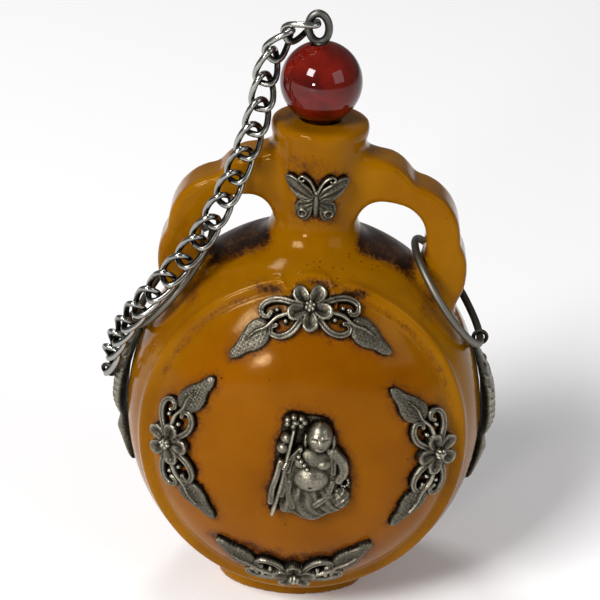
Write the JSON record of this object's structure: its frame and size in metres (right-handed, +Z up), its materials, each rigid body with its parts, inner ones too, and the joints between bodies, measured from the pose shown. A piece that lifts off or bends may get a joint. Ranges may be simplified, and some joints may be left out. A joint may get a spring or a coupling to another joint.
{
  "type": "snuff bottle",
  "caption": "Plump amber-resin moon-flask snuff bottle with lobed loop handles, cast floral and figure appliques, a chained bead stopper and a carp pendant hanging at each side.",
  "frame": {"origin": "middle of the foot's flat underside", "axes": "+Z up along the neck, -Y out of the front face with the figure, +X to the right as the front is seen"},
  "size_m": [0.0631, 0.0449, 0.0973],
  "materials": {
    "amber_resin": "polished moulded resin, dark patina in the recesses",
    "red_stone": "high polish",
    "aged_silver": "antiqued white-metal casting",
    "bright_steel": "bright steel wire",
    "dull_wire": "dull grey wire"
  },
  "bodies": {
    "root": {"bottle": "amber_resin", "stopper_bead": "red_stone", "stopper_eye": "dull_wire", "chain_link_01": "bright_steel", "chain_link_02": "bright_steel", "chain_link_03": "bright_steel", "chain_link_04": "bright_steel", "chain_link_05": "bright_steel", "chain_link_06": "bright_steel", "chain_link_07": "bright_steel", "chain_link_08": "bright_steel", "chain_link_09": "bright_steel", "chain_link_10": "bright_steel", "chain_link_11": "bright_steel", "chain_link_12": "bright_steel", "chain_link_13": "bright_steel", "chain_link_14": "bright_steel", "chain_link_15": "bright_steel", "chain_link_16": "bright_steel", "chain_link_17": "bright_steel", "chain_link_18": "bright_steel", "handle_ring_right": "dull_wire", "handle_ring_left": "dull_wire", "carp_right": "aged_silver", "carp_left": "aged_silver", "spray_front_top": "aged_silver", "spray_front_left": "aged_silver", "spray_front_bottom": "aged_silver", "spray_front_right": "aged_silver", "spray_back_top": "aged_silver", "spray_back_left": "aged_silver", "spray_back_bottom": "aged_silver", "spray_back_right": "aged_silver", "butterfly": "aged_silver", "monk_figure": "aged_silver"}
  },
  "joints": []
}
